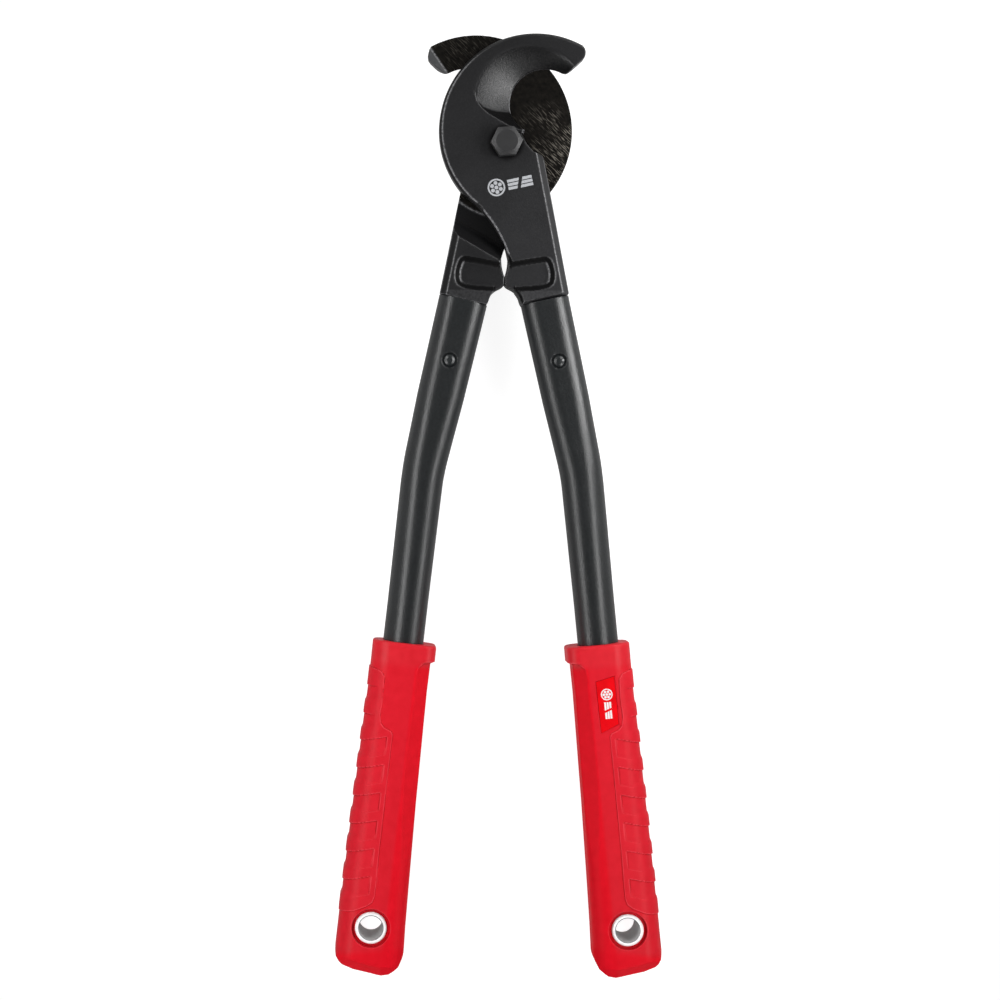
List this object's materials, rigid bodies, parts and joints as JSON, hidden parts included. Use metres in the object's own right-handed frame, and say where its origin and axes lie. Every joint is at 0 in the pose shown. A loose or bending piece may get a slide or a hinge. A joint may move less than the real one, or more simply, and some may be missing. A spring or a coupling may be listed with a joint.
{
  "type": "cable cutter",
  "caption": "Two-handed manual cable cutter with hooked crossing jaws on one pivot bolt, tubular steel handles, moulded grips and a hanging hole in each grip.",
  "frame": {"origin": "on the pivot bolt's axis, at the plane where the two jaws slide on each other", "axes": "+Z along the pivot axis to the bolt head, +Y to the blades, handles towards -Y, +X to the right with the bolt head facing the viewer; drawn closed"},
  "size_m": [0.1504, 0.4303, 0.034],
  "materials": {
    "forged_steel": "black oxide forging, fine satin texture, bright worn edges",
    "bolt_steel": "dark oxide, satin",
    "washer_steel": "zinc plated, dull",
    "rivet_steel": "black, worn dome",
    "nylon": "blue nylon ring",
    "powder_coat": "charcoal powder coat, fine grain",
    "grip_red": "moulded red plastic, fine textured and semi-matt zones",
    "nickel_plate": "bright nickel plate",
    "badge_gloss": "glossy deep red plate"
  },
  "bodies": {
    "rear_arm": {"rear_jaw": "forged_steel", "left_tube": "powder_coat", "left_tang_rivet": "rivet_steel", "left_grip": "grip_red", "left_sleeve_bolt": "nickel_plate", "left_sleeve_nut": "nickel_plate", "left_badge": "badge_gloss"},
    "front_arm": {"front_jaw": "forged_steel", "pivot_bolt": "bolt_steel", "pivot_flat_washer": "washer_steel", "pivot_disc_spring": "washer_steel", "lock_nut_body": "bolt_steel", "lock_nut_insert": "nylon", "right_tube": "powder_coat", "right_tang_rivet": "rivet_steel", "right_grip": "grip_red", "right_sleeve_bolt": "nickel_plate", "right_sleeve_nut": "nickel_plate", "right_badge": "badge_gloss"}
  },
  "joints": [
    {"name": "jaw_pivot", "type": "hinge", "parent": "rear_arm", "child": "front_arm", "pos_m": [0, 0, 0], "axis": [0, 0, 1], "range_deg": [0, 110]}
  ]
}
